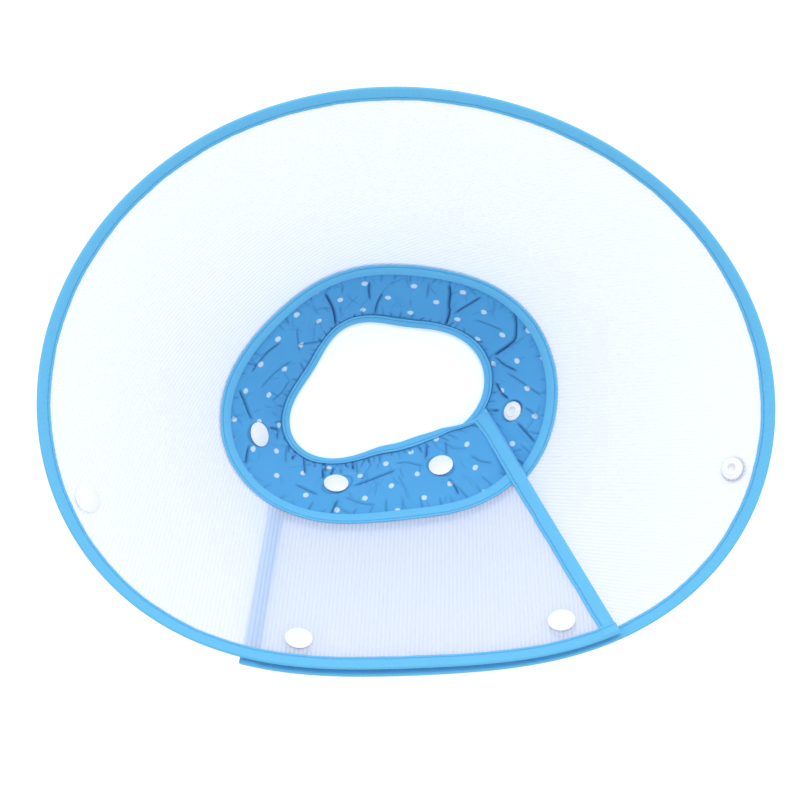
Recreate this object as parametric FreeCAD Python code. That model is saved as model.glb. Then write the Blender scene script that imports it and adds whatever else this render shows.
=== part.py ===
import FreeCAD, Part
import math
import os

# Elizabethan collar for a pet: a flexible plastic sheet wrapped into a flared cone round a padded
# fabric neck band, closed by two rows of press snaps.
# Units are mm.  +Z runs along the cone axis from the neck to the wide mouth; the neck edge stands
# on z = 0 and the origin is the middle of the neck opening.
# Every surface is laid out in three coordinates: azimuth u (degrees, from +X towards +Y),
# v (0 neck edge, 1 seam between pad and sheet, 2 rim) and n (distance outwards from the middle
# of the sheet).  A place up the slope is written as (base, rise): rise mm above v = base.
# "Inside" is the side facing the cone axis, towards -n; "outside" is towards +n.

# ---------------------------------------------------------------- cone
Z_NECK = 1.3          # neck edge of the pad
Z_SEAM = 31.5         # seam between pad and sheet
Z_RIM = 110.5         # rim of the sheet
# plan curves: mean radius, then (cos, sin) amplitudes of the 1st, 2nd, 3rd ... harmonic of u
RIM_CURVE = (148.36, [(2.09, 1.19), (17.11, 0.43), (1.13, -3.75), (-0.14, -0.20)])
SEAM_CURVE = (73.37, [(-0.89, -0.14), (9.37, 3.89), (-0.22, -2.01), (-0.18, 1.16),
                      (-0.50, -0.14)])
NECK_CURVE = (42.86, [(-2.93, 7.09), (7.97, 5.62), (0.74, -1.08), (0.00, 3.12),
                      (-0.06, -0.74)])
LAP_START, LAP_FULL = 120.0, 208.0            # the wrap spirals inwards between these azimuths
LAP_NECK, LAP_SEAM, LAP_RIM = 3.2, 5.2, 4.6   # gap between the two layers, middle to middle
LIFT_START, LIFT_FULL = 333.0, 355.0          # the inner layer's neck edge rises between these
LIFT = 8.0                                    # height of that rise along the slope
FLOOR_BLEND = 7.0                             # degrees over which the edge leaves the floor

# ---------------------------------------------------------------- segments
END_OUTER = (-161.5, -138.0, -120.39)  # bound end of the outer layer at neck, seam and rim
END_INNER = (355.5, 331.6, 311.53)     # bound end of the inner layer at neck, seam and rim
BEND_RIGHT = 16.0                      # bend line between cone back and right panel
BEND_OUTER = -33.0                     # bend line between right panel and outer flap
BEND_INNER = 218.0                     # bend line between cone back and inner flap
BEND_GAP = 0.6                         # half width of the gap at a bend line, pad and tapes
SHEET_BEND_GAP = 0.2                   # half width of the gap at a bend line, sheet
FOAM_INSET = 1.0                       # the foam stops this far short of a bound end

# ---------------------------------------------------------------- sheet, tapes and pad
SHEET_T = 0.5
TAPE_T = 0.5
TAPE_RIM_W = 5.7
TAPE_SEAM_W = 5.4
TAPE_NECK_W = 4.8
TAPE_END_W = 6.8
RIM_MIDDLE = 3.0      # extra section row this far below the rim
FIT = 0.15            # clearance between touching layers
FIT_NECK = 0.25       # clearance inside the neck tape
FLOOR_CORNER = 0.5    # the neck tape's flat underside starts this far inside n = 0
COVER_T = 0.5
FOAM_DEPTH = COVER_T + FIT + 0.05     # foam surface below the pad's surface
EDGE_HALF = 0.60      # half thickness of the pad where it is sewn flat
PAD_SET = 1.72        # outward offset of the pad's middle at the seam
HEM_NECK, HEM_SEAM = 5.3, 4.2         # widths sewn flat along neck and seam
PAD_FADE = 20.0       # the bulge halves over this distance towards a bound end
# v, half thickness added to EDGE_HALF
PAD_BULGE = [(0.22, 0.68), (0.36, 0.92), (0.5, 1.0), (0.64, 0.92), (0.78, 0.68)]

# section rows as (base, rise), from the neck side to the rim side
SHEET_ROWS = [(1.0, -TAPE_SEAM_W / 2), (1.0, 0.0), (1.0, 4.0), (1.15, 0.0), (1.3, 0.0),
              (1.5, 0.0), (1.7, 0.0), (1.85, 0.0), (2.0, -TAPE_RIM_W - 1.0),
              (2.0, -RIM_MIDDLE), (2.0, 0.0)]
BULGE_ROWS = [(v, 0.0) for v, _ in PAD_BULGE]
COVER_ROWS = ([(0.0, 0.0), (0.0, HEM_NECK)] + BULGE_ROWS
              + [(1.0, -HEM_SEAM), (1.0, 0.0), (1.0, 2.2)])
FOAM_ROWS = [(0.0, 7.4)] + BULGE_ROWS + [(1.0, -6.8)]

FOLD_GAP = 0.45       # clearance between a bound end and the fold of its tape
END_START_OUTER, END_START_INNER = 0.6, 1.5   # start of the end tape above the neck tape
END_SHEET_HALF = 0.47                         # half opening of the end tape over the sheet
# base, rise, n of the end tape's inside and outside leaf, above its lowest section
END_LEVELS = [(0.22, 0.0, -1.0, 1.65), (0.36, 0.0, -0.84, 2.1), (0.5, 0.0, -0.6, 2.45),
              (0.64, 0.0, -0.7, 2.72), (0.8, 0.0, -0.92, 2.8), (1.0, -4.6, -1.12, 2.62),
              (1.0, 0.0, -1.12, 2.6), (1.0, 3.2, -1.12, 2.6)]
END_LEVELS += [(base, rise, -END_SHEET_HALF, END_SHEET_HALF) for base, rise in (
    (1.0, 6.0), (1.15, 0.0), (1.3, 0.0), (1.45, 0.0), (1.6, 0.0), (1.75, 0.0),
    (2.0, -TAPE_RIM_W - 0.6))]

# ---------------------------------------------------------------- snaps
CAP_R, CAP_H, CAP_EDGE, CAP_BEVEL = 6.2, 1.7, 0.55, 0.25
DOME_STEPS = 7
POST_R, POST_HOLE_R = 1.6, 1.9
FLANGE_R, FLANGE_T, RECESS_R = 5.1, 1.0, 5.4
STUD_R, STUD_TIP_R, STUD_H = 1.7, 1.15, 1.55
SOCKET_H, SOCKET_BORE_R, SOCKET_DEPTH = 2.2, 2.0, 1.7
POST_SHORT = 0.15                              # the post stops this far short of its mate
STUD_CAP_GAP_SHEET, STUD_CAP_GAP_PAD = 0.45, 0.85      # cap underside to the inside face
SOCKET_CAP_GAP_SHEET, SOCKET_CAP_GAP_PAD = 0.15, 0.75  # cap underside to the outside face
SOCKET_GAP_SHEET = 0.3                         # back of the socket to the sheet
SOCKET_PROUD_PAD = 0.25                        # socket mouth beyond the pad's inside face
STUD_PROUD_PAD = 0.1                           # stud flange beyond the pad's outside face

# snap places as (azimuth, v), rim row (v above 1) before neck row
FLAP_SNAPS = [(304.8, 1.8430), (247.6, 1.8450), (308.3, 0.47), (237.8, 0.50)]
BACK_STUDS = [(199.4, 1.8610), (194.6, 0.535)]
PANEL_SOCKETS = [(-13.1, 1.8670), (-4.2, 0.485)]

INSIDE, OUTSIDE = 0, 1
# holes: part, radius, face and offset where the cut starts, face and offset where it stops
FOAM_HOLE = ("pad_foam", RECESS_R, INSIDE, -1.0, OUTSIDE, 1.0)
STUD_SHEET_HOLES = [("sheet", POST_HOLE_R, INSIDE, -3.75, OUTSIDE, 3.75)]
STUD_PAD_HOLES = [("pad_front", POST_HOLE_R, INSIDE, -2.0, INSIDE, 1.4), FOAM_HOLE,
                  ("pad_lining", RECESS_R, OUTSIDE, -1.8, OUTSIDE, 3.0)]
SOCKET_SHEET_HOLES = [("sheet", POST_HOLE_R, INSIDE, -2.75, OUTSIDE, 2.75)]
SOCKET_PAD_HOLES = [("pad_front", RECESS_R, INSIDE, -3.0, INSIDE, 1.8), FOAM_HOLE,
                    ("pad_lining", POST_HOLE_R, OUTSIDE, -1.4, OUTSIDE, 2.0)]


# ---------------------------------------------------------------- the cone surface
def clamp(value, low, high):
    return min(max(value, low), high)


def smooth(t):
    t = clamp(t, 0.0, 1.0)
    return t * t * (3.0 - 2.0 * t)


def bisect(low, high, is_past):
    """Value between low and high where is_past turns from false to true."""
    for _ in range(60):
        middle = 0.5 * (low + high)
        if is_past(middle):
            high = middle
        else:
            low = middle
    return 0.5 * (low + high)


def radius(u, curve):
    angle = math.radians(u)
    r, harmonics = curve
    for k, (cos_part, sin_part) in enumerate(harmonics, 1):
        r += cos_part * math.cos(k * angle) + sin_part * math.sin(k * angle)
    return r


def lift(u):
    return smooth((u - LIFT_START) / (LIFT_FULL - LIFT_START))


def off_floor(u):
    """0 where the neck edge stands on the floor, 1 where it has lifted off."""
    return smooth((u - LIFT_START) / FLOOR_BLEND)


def slope_lengths(u):
    """Length of the pad and of the sheet along the slope at azimuth u."""
    rim_r, seam_r, neck_r = (radius(u, c) for c in (RIM_CURVE, SEAM_CURVE, NECK_CURVE))
    pad = math.hypot(seam_r - neck_r, Z_SEAM - Z_NECK) - LIFT * lift(u)
    return pad, math.hypot(rim_r - seam_r, Z_RIM - Z_SEAM)


def surf(u, v, n=0.0):
    """Point in space of the surface coordinates (u, v, n)."""
    rim_r, seam_r, neck_r = (radius(u, c) for c in (RIM_CURVE, SEAM_CURVE, NECK_CURVE))
    sheet_slope = math.atan2(Z_RIM - Z_SEAM, rim_r - seam_r)
    pad_slope = math.atan2(Z_SEAM - Z_NECK, seam_r - neck_r)
    seam_slope = 0.5 * (sheet_slope + pad_slope)
    lap = smooth((u - LAP_START) / (LAP_FULL - LAP_START))
    rim_shift, seam_shift, neck_shift = -LAP_RIM * lap, -LAP_SEAM * lap, -LAP_NECK * lap
    if v >= 1.0:
        w = v - 1.0
        r = seam_r + (rim_r - seam_r) * w
        z = Z_SEAM + (Z_RIM - Z_SEAM) * w
        slope = seam_slope + (sheet_slope - seam_slope) * min(w, 1.0)
        shift = seam_shift + (rim_shift - seam_shift) * w
        along = 0.0
    else:
        up = LIFT * lift(u) / math.hypot(seam_r - neck_r, Z_SEAM - Z_NECK)
        v = v + up * (1.0 - v)
        r = neck_r + (seam_r - neck_r) * v
        z = Z_NECK + (Z_SEAM - Z_NECK) * v
        slope = pad_slope + (seam_slope - pad_slope) * max(v, 0.0)
        shift = neck_shift + (seam_shift - neck_shift) * v
        # slide along the slope so that the lapped neck edge keeps its height
        along = shift * math.cos(slope) / math.sin(slope) * (1.0 - v) * (1.0 - lift(u))
    r += (shift + n) * math.sin(slope) + along * math.cos(slope)
    z += -(shift + n) * math.cos(slope) + along * math.sin(slope)
    angle = math.radians(u)
    return FreeCAD.Vector(r * math.cos(angle), r * math.sin(angle), z)


def normal(u, v):
    """Unit normal of the cone surface, pointing outwards."""
    step_u = surf(u + 0.05, v) - surf(u - 0.05, v)
    step_v = surf(u, v + 0.002) - surf(u, v - 0.002)
    n = step_u.cross(step_v)
    n.normalize()
    return n


def azimuth(point):
    return math.degrees(math.atan2(point.y, point.x))


def v_at_height(u, z):
    return bisect(-0.2, 2.2, lambda v: surf(u, v).z > z)


def on_pad(base, rise):
    return base < 1.0 or (base == 1.0 and rise < 0.0)


class Corner:
    """Section corner at (base, rise) and offset n, which is a number or a function of (u, v)."""

    def __init__(self, base, rise, n, floor=False):
        self.base, self.rise, self.n, self.floor = base, rise, n, floor

    def rough_v(self):
        return self.base + self.rise / 100.0

    def v(self, u):
        pad, sheet = slope_lengths(u)
        return self.base + self.rise / (pad if on_pad(self.base, self.rise) else sheet)

    def point(self, u):
        v = self.v(u)
        p = surf(u, v, self.n(u, v) if callable(self.n) else self.n)
        if self.floor:
            p.z = p.z * off_floor(u)
        return p


# ---------------------------------------------------------------- cutting planes between segments
class Plane:
    """Cutting plane; distance grows with u, and guess(v) is roughly its azimuth at v."""

    def __init__(self, point, direction, guess):
        self.direction = FreeCAD.Vector(direction)
        self.direction.normalize()
        self.point, self.guess = point, guess

    def moved(self, shift):
        return Plane(self.point + self.direction * shift, self.direction, self.guess)

    def dist(self, p):
        return (p - self.point).dot(self.direction)

    def meet(self, corner):
        """Azimuth at which the track of a section corner meets the plane."""
        guess = self.guess(corner.rough_v())
        return bisect(guess - 14.0, guess + 14.0, lambda u: self.dist(corner.point(u)) > 0.0)


def bend_plane(u, shift):
    angle = math.radians(u)
    direction = FreeCAD.Vector(-math.sin(angle), math.cos(angle), 0)
    return Plane(FreeCAD.Vector(0, 0, 0), direction, lambda v: u).moved(shift)


def end_plane(seam_u, far_u, far_v):
    """Plane square to the surface, through the seam point and the far point of a bound end."""
    seam_point = surf(seam_u, 1.0)
    mid_u, mid_v = 0.5 * (seam_u + far_u), 0.5 * (1.0 + far_v)
    direction = normal(mid_u, mid_v).cross(seam_point - surf(far_u, far_v))
    if (surf(mid_u + 3.0, mid_v) - surf(mid_u - 3.0, mid_v)).dot(direction) < 0.0:
        direction = direction * -1.0

    def guess(v):
        return seam_u + (far_u - seam_u) * clamp((v - 1.0) / (far_v - 1.0), -0.2, 1.05)
    return Plane(seam_point, direction, guess)


class BoundEnd:
    """Bound end of a layer; side is +1 where the layer lies towards larger u, else -1."""

    def __init__(self, azimuths, side):
        neck_u, seam_u, rim_u = azimuths
        self.pad = end_plane(seam_u, neck_u, 0.0)
        self.sheet = end_plane(seam_u, rim_u, 2.0)
        self.side = side

    def cuts(self):
        return {"pad": self.pad, "foam": self.pad.moved(self.side * FOAM_INSET),
                "sheet": self.sheet, "tape": self.sheet}


def bend_cuts(u, side):
    """Cutting planes at a bend line of the segment on the given side of it."""
    wide = bend_plane(u, side * BEND_GAP)
    return {"pad": wide, "foam": wide, "tape": wide,
            "sheet": bend_plane(u, side * SHEET_BEND_GAP)}


def strip(corners, start, end, spans):
    """Solid swept from the start plane to the end plane: each side face is ruled between the
    tracks of two neighbouring corners, and the two ends are flat."""
    tracks = []
    for corner in corners:
        u0, u1 = start.meet(corner), end.meet(corner)
        tracks.append([corner.point(u0 + (u1 - u0) * k / spans) for k in range(spans + 1)])
    edges = []
    for points in tracks:
        curve = Part.BSplineCurve()
        curve.interpolate(Points=points, Parameters=[k / spans for k in range(spans + 1)])
        edges.append(curve.toShape())
    faces = []
    for i, points in enumerate(tracks):
        j = (i + 1) % len(tracks)
        if all(abs(p.z) < 1e-9 for p in points + tracks[j]):     # the neck edge stands flat
            first, last = (Part.makeLine(points[k], tracks[j][k]) for k in (0, -1))
            loop = Part.__sortEdges__([edges[i], last, edges[j], first])
            faces.append(Part.Face(Part.Wire(loop)))
        else:
            faces.append(Part.makeRuledSurface(edges[i], edges[j]))
    for k in (0, -1):
        ring = [points[k] for points in tracks]
        faces.append(Part.Face(Part.makePolygon(ring + [ring[0]])))
    shell = Part.makeShell(faces)
    shell.sewShape()
    solid = Part.makeSolid(shell)
    if solid.Volume < 0.0:
        solid = Part.makeSolid(shell.reversed())
    return solid


# ---------------------------------------------------------------- sections of the parallel layers
def layer_section(rows, inside, outside):
    """Section between two offsets, up the inside and back down the outside."""
    return ([Corner(base, rise, inside) for base, rise in rows]
            + [Corner(base, rise, outside) for base, rise in reversed(rows)])


def folded_tape_section(base, lip, middle, edge, away):
    """Tape folded over an edge of the sheet; lip, middle and edge are rises above base, and
    away is the direction (+1 or -1) from the sheet past its edge."""
    near = SHEET_T / 2 + FIT
    far = near + TAPE_T
    crease_in = edge + away * FIT
    crease_out = edge + away * (FIT + TAPE_T)
    outline = [(lip, -far), (middle, -far), (crease_out, -far),
               (crease_out, far), (middle, far), (lip, far),
               (lip, near), (middle, near), (crease_in, near),
               (crease_in, -near), (middle, -near), (lip, -near)]
    return [Corner(base, rise, n) for rise, n in outline]


def neck_tape_section():
    """Tape folded under the neck edge of the pad, with a flat underside on the floor."""
    near = EDGE_HALF + FIT_NECK
    far = near + TAPE_T
    bottom = -FIT_NECK - TAPE_T
    outline = [(TAPE_NECK_W, -far, False), (bottom, -far, False), (bottom, -FLOOR_CORNER, True),
               (bottom, far, True), (TAPE_NECK_W, far, False), (TAPE_NECK_W, near, False),
               (-FIT_NECK, near, False), (-FIT_NECK, -near, False), (TAPE_NECK_W, -near, False)]
    return [Corner(0.0, rise, n, floor) for rise, n, floor in outline]


def pad_faces(u, v, bound_end):
    """n of the pad's inside and outside face; the pad thins towards a bound end."""
    pad, _ = slope_lengths(u)
    profile = ([(0.0, 0.0), (HEM_NECK / pad, 0.0)] + PAD_BULGE
               + [(1.0 - HEM_SEAM / pad, 0.0), (1.2, 0.0)])
    bulge = 0.0
    for (v0, bulge0), (v1, bulge1) in zip(profile, profile[1:]):
        if v0 <= v <= v1:
            bulge = bulge0 + (bulge1 - bulge0) * (v - v0) / (v1 - v0)
    if bound_end:
        distance = bound_end.side * bound_end.pad.dist(surf(u, v))
        bulge *= 0.5 + 0.5 * smooth(distance / PAD_FADE)
    middle, half = PAD_SET * smooth(v), EDGE_HALF + bulge
    return middle - half, middle + half


def segment(start, end, bound_end, spans):
    """Sheet, tapes and pad of one segment between two sets of cutting planes."""
    def sweep(corners, cut):
        return strip(corners, start[cut], end[cut], spans)

    def face(side, shift=0.0):
        return lambda u, v: pad_faces(u, v, bound_end)[side] + shift

    seam_half = TAPE_SEAM_W / 2
    rim_tape = folded_tape_section(2.0, lip=-TAPE_RIM_W, middle=-RIM_MIDDLE, edge=0.0, away=1)
    seam_tape = folded_tape_section(1.0, lip=seam_half, middle=0.0, edge=-seam_half, away=-1)
    front = layer_section(COVER_ROWS, face(INSIDE), face(INSIDE, COVER_T))
    lining = layer_section(COVER_ROWS, face(OUTSIDE, -COVER_T), face(OUTSIDE))
    foam = layer_section(FOAM_ROWS, face(INSIDE, FOAM_DEPTH), face(OUTSIDE, -FOAM_DEPTH))
    return {
        "sheet": sweep(layer_section(SHEET_ROWS, -SHEET_T / 2, SHEET_T / 2), "sheet"),
        "rim_tape": sweep(rim_tape, "tape"),
        "seam_tape": sweep(seam_tape, "tape"),
        "pad_front": sweep(front, "pad"),
        "pad_lining": sweep(lining, "pad"),
        "pad_foam": sweep(foam, "foam"),
        "neck_tape": sweep(neck_tape_section(), "pad"),
    }


def end_tape(bound_end, start):
    """Tape folded over the bound end of a layer, from the neck tape to the rim tape."""
    levels = [(0.0, TAPE_NECK_W + start, -0.80, 1.0)] + END_LEVELS
    side, fold = bound_end.side, FOLD_GAP + TAPE_T
    wires = []
    for i, (base, rise, n_in, n_out) in enumerate(levels):
        plane = bound_end.pad if on_pad(base, rise) else bound_end.sheet
        place = Corner(base, rise, 0.0)
        end_u = plane.meet(place)
        v = place.v(end_u)
        # distance across the tape is measured square to the end line
        mm_per_degree = abs((surf(end_u + 0.5, v) - surf(end_u - 0.5, v)).dot(plane.direction))

        def shifted(distance):
            return end_u + side * distance / mm_per_degree

        outline = [(TAPE_END_W, n_in - TAPE_T), (-fold, n_in - TAPE_T),
                   (-fold, n_out + TAPE_T), (TAPE_END_W, n_out + TAPE_T),
                   (TAPE_END_W, n_out), (-FOLD_GAP, n_out), (-FOLD_GAP, n_in),
                   (TAPE_END_W, n_in)]
        points = []
        for distance, n in outline:
            u = shifted(distance)
            points.append(surf(u, place.v(u), n))
        if i in (0, len(levels) - 1):              # the tape's two ends are flat
            fold_u, lip_u = shifted(-fold), shifted(TAPE_END_W)
            fold_point = surf(fold_u, place.v(fold_u))
            lip_point = surf(lip_u, place.v(lip_u))
            square = (lip_point - fold_point).cross(normal(0.5 * (fold_u + lip_u), v))
            square.normalize()
            points = [p + square * (fold_point - p).dot(square) for p in points]
        wires.append(Part.makePolygon(points + [points[0]]))
    return Part.makeLoft(wires, True, True)


# ---------------------------------------------------------------- snap pieces
def turned(outline, origin, axis):
    """Solid of revolution of a closed (r, height) outline, height along axis from origin."""
    wire = Part.makePolygon([FreeCAD.Vector(r, 0, h) for r, h in outline + [outline[0]]])
    body = Part.Face(wire).revolve(FreeCAD.Vector(0, 0, 0), FreeCAD.Vector(0, 0, 1), 360)
    body.Placement = FreeCAD.Placement(origin, FreeCAD.Rotation(FreeCAD.Vector(0, 0, 1), axis))
    return body


def cap(origin, axis, post):
    """Domed cap: flat underside at origin, dome along axis, post of that length the other way."""
    rise = CAP_H - CAP_EDGE
    dome_r = (CAP_R ** 2 + rise ** 2) / (2 * rise)
    outline = [(0.0, -post), (POST_R, -post), (POST_R, 0.0), (CAP_R - CAP_BEVEL, 0.0),
               (CAP_R, CAP_BEVEL), (CAP_R, CAP_EDGE)]
    for k in range(1, DOME_STEPS):
        r = CAP_R * (1.0 - k / DOME_STEPS)
        outline.append((r, CAP_H - dome_r + math.sqrt(dome_r * dome_r - r * r)))
    outline.append((0.0, CAP_H))
    return turned(outline, origin, axis)


def stud(origin, axis):
    """Flange with its flat back at origin and a rounded stud along axis."""
    top = FLANGE_T + STUD_H
    return turned([(0.0, 0.0), (FLANGE_R - 0.3, 0.0), (FLANGE_R, 0.3),
                   (FLANGE_R, FLANGE_T - 0.25), (FLANGE_R - 0.25, FLANGE_T),
                   (STUD_R + 0.5, FLANGE_T), (STUD_R, FLANGE_T + 0.3), (STUD_R, top - 0.95),
                   (STUD_R - 0.12, top - 0.45), (STUD_TIP_R, top - 0.1),
                   (STUD_TIP_R - 0.3, top), (0.0, top)], origin, axis)


def socket(origin, axis):
    """Mouth plane at origin, body along axis; the mouth opens the other way."""
    return turned([(0.0, SOCKET_DEPTH), (SOCKET_BORE_R, SOCKET_DEPTH), (SOCKET_BORE_R, 0.55),
                   (SOCKET_BORE_R + 0.35, 0.0), (SOCKET_BORE_R + 1.2, 0.0),
                   (SOCKET_BORE_R + 1.6, 0.45), (FLANGE_R - 0.7, 0.45), (FLANGE_R, 0.9),
                   (FLANGE_R, SOCKET_H - 0.2), (FLANGE_R - 0.2, SOCKET_H), (0.0, SOCKET_H)],
                  origin, axis)


# ---------------------------------------------------------------- build the segments
OUTER_END, INNER_END = BoundEnd(END_OUTER, 1.0), BoundEnd(END_INNER, -1.0)
BOUND_ENDS = {"outer_flap": OUTER_END, "inner_flap": INNER_END}
# start and end cuts, number of spline spans along the segment
LAYOUT = {
    "cone_back": (bend_cuts(BEND_RIGHT, 1), bend_cuts(BEND_INNER, -1), 40),
    "right_panel": (bend_cuts(BEND_OUTER, 1), bend_cuts(BEND_RIGHT, -1), 14),
    "outer_flap": (OUTER_END.cuts(), bend_cuts(BEND_OUTER, -1), 28),
    "inner_flap": (bend_cuts(BEND_INNER, 1), INNER_END.cuts(), 32),
}
segments = {body: segment(start, end, BOUND_ENDS.get(body), spans)
            for body, (start, end, spans) in LAYOUT.items()}
nodes = {}


# ---------------------------------------------------------------- fit the snaps
def add(name, shape):
    nodes.setdefault(name, []).append(shape)


def layer_faces(body, u, v):
    if v > 1.0:
        return -SHEET_T / 2, SHEET_T / 2
    return pad_faces(u, v, BOUND_ENDS.get(body))


def cut_holes(body, holes, centre, axis, faces):
    for part, hole_r, start_face, start_offset, stop_face, stop_offset in holes:
        start, stop = faces[start_face] + start_offset, faces[stop_face] + stop_offset
        tool = Part.makeCylinder(hole_r, stop - start, centre + axis * start, axis)
        segments[body][part] = segments[body][part].cut(tool)


def fit_stud(body, u, v):
    """Cap on the inside and stud on the outside of a layer."""
    centre, axis = surf(u, v), normal(u, v)
    faces = layer_faces(body, u, v)
    if v > 1.0:
        flange = faces[OUTSIDE] + FIT
        cap_gap, holes = STUD_CAP_GAP_SHEET, STUD_SHEET_HOLES
    else:
        flange = faces[OUTSIDE] - FLANGE_T + STUD_PROUD_PAD
        cap_gap, holes = STUD_CAP_GAP_PAD, STUD_PAD_HOLES
    under = faces[INSIDE] - cap_gap
    add(body + "_snap_caps",
        cap(centre + axis * under, axis * -1.0, flange - under - POST_SHORT))
    add(body + "_snap_studs", stud(centre + axis * flange, axis))
    cut_holes(body, holes, centre, axis, faces)


def fit_socket(body, centre, axis, u, v):
    """Socket on the inside and cap on the outside; centre is on the layer's middle surface."""
    faces = layer_faces(body, u, v)
    if v > 1.0:
        mouth = faces[INSIDE] - SOCKET_GAP_SHEET - SOCKET_H
        cap_gap, holes = SOCKET_CAP_GAP_SHEET, SOCKET_SHEET_HOLES
    else:
        mouth = faces[INSIDE] - SOCKET_PROUD_PAD
        cap_gap, holes = SOCKET_CAP_GAP_PAD, SOCKET_PAD_HOLES
    cut_holes(body, holes, centre, axis, faces)
    add(body + "_snap_sockets", socket(centre + axis * mouth, axis))
    under = faces[OUTSIDE] + cap_gap
    post = under - (mouth + SOCKET_H) - POST_SHORT
    add(body + "_snap_caps", cap(centre + axis * under, axis, post))


def outer_layer_hit(point, axis):
    """Point where the axis meets the middle surface of the outer layer."""
    def is_outside(distance):
        p = point + axis * distance
        u = azimuth(p)
        q = surf(u, v_at_height(u, p.z))
        return math.hypot(p.x, p.y) > math.hypot(q.x, q.y)
    return point + axis * bisect(0.5, 12.0, is_outside)


# each socket of the outer flap sits on the axis of its stud on the inner flap
for stud_u, stud_v in FLAP_SNAPS:
    fit_stud("inner_flap", stud_u, stud_v)
    snap_axis = normal(stud_u, stud_v)
    hit = outer_layer_hit(surf(stud_u, stud_v), snap_axis)
    hit_u = azimuth(hit)
    fit_socket("outer_flap", hit, snap_axis, hit_u, v_at_height(hit_u, hit.z))
for stud_u, stud_v in BACK_STUDS:
    fit_stud("cone_back", stud_u, stud_v)
for socket_u, socket_v in PANEL_SOCKETS:
    fit_socket("right_panel", surf(socket_u, socket_v), normal(socket_u, socket_v),
               socket_u, socket_v)

for body, parts in segments.items():
    for part, shape in parts.items():
        add(body + "_" + part, shape)
add("outer_flap_end_tape", end_tape(OUTER_END, END_START_OUTER))
add("inner_flap_end_tape", end_tape(INNER_END, END_START_INNER))

# ---------------------------------------------------------------- write one file per node
os.makedirs("parts", exist_ok=True)
for name, shapes in nodes.items():
    solids = [solid for shape in shapes for solid in shape.Solids]
    whole = solids[0] if len(solids) == 1 else Part.makeCompound(solids)
    whole.exportStep("parts/" + name + ".step")
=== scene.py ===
# A wrap-around cone: a clear ribbed sheet above a padded cloth band, with every edge bound in tape.
# It stands on the floor at z = 0 with its narrow neck down, its wide rim up and its axis near +Z.
# The inner flap laps inside the outer flap. Lengths are in mm and become metres in make_mesh.
#
# A point on the cone is given by
#   turn   azimuth in degrees, anticlockwise from +X seen from above
#   level  0 at the neck, 1 at the seam between pad and sheet, 2 at the rim
#   off    mm square to the surface, positive away from the axis
# The front of a layer faces the axis (negative off) and its back faces away from it.
import bpy
import math
import numpy as np
from mathutils import Matrix, Vector


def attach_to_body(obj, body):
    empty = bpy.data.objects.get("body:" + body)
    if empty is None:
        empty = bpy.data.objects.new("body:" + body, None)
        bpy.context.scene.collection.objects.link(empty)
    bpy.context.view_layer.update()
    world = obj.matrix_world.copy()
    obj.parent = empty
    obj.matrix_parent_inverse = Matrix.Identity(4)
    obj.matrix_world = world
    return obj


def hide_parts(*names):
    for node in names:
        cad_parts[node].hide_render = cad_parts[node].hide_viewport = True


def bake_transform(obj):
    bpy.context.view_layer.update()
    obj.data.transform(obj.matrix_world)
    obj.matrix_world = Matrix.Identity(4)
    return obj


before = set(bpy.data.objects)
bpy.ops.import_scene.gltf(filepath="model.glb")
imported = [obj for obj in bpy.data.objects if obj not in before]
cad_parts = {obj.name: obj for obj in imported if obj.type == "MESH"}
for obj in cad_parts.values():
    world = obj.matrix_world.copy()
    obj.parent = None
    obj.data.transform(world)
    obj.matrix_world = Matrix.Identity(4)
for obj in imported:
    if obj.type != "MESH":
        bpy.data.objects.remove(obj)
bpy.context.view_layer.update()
MM = 0.001

# ---------------------------------------------------------------- dimensions of the cone
Z_NECK, Z_SEAM, Z_RIM = 1.3, 31.5, 110.5
# radius round the cone: mean, then cosine and sine parts of one, two, three... waves per turn
RIM = [148.36, 2.09, 1.19, 17.11, 0.43, 1.13, -3.75, -0.14, -0.20]
SEAM = [73.37, -0.89, -0.14, 9.37, 3.89, -0.22, -2.01, -0.18, 1.16, -0.50, -0.14]
NECK = [42.86, -2.93, 7.09, 7.97, 5.62, 0.74, -1.08, 0.00, 3.12, -0.06, -0.74]
# the inner flap moves in towards the axis between these turns, by these distances
LAP_START, LAP_FULL = 120.0, 208.0
LAP_NECK, LAP_SEAM, LAP_RIM = 3.2, 5.2, 4.6
# near its end the neck edge of the inner flap rises up the slope
LIFT_START, LIFT_FULL, LIFT = 333.0, 355.0, 8.0
# turns of the two cut ends at neck, seam and rim
END_OUTER = (-161.5, -138.0, -120.39)
END_INNER = (355.5, 331.6, 311.53)

SPANS = ["outer_flap", "bend_outer", "right_panel", "bend_right", "cone_back", "bend_inner",
         "inner_flap"]
# bend: first body, second body, turns where it begins and ends, direction, half length in metres
BENDS = {"bend_outer": ("right_panel", "outer_flap", (-48.0, -18.0), -1.0, 0.0095),
         "bend_right": ("cone_back", "right_panel", (-4.0, 36.0), -1.0, 0.0145),
         "bend_inner": ("cone_back", "inner_flap", (205.0, 231.0), 1.0, 0.0060)}
CUTS = [turn for bend in BENDS.values() for turn in bend[2]]

# snaps through the pad, as (turn, level)
SNAP_LAP, SNAP_MIDDLE, SNAP_LEFT = (308.3, 0.47), (237.8, 0.50), (194.6, 0.535)
CAPS_IN = [SNAP_LAP, SNAP_MIDDLE, SNAP_LEFT]          # caps on the pad's front, studs behind
HIDDEN_SOCKETS = [(turn - 360.0, level) for turn, level in (SNAP_LAP, SNAP_MIDDLE)]
SOCKETS_IN = [(-4.2, 0.485)] + HIDDEN_SOCKETS         # sockets in the front, caps behind


# ---------------------------------------------------------------- small curves and lengths
def smooth(t):
    t = np.clip(t, 0.0, 1.0)
    return t * t * (3.0 - 2.0 * t)


def fade(x, start, width):
    """1 up to start, falling smoothly to 0 over width."""
    return 1.0 - smooth((x - start) / width)


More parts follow.
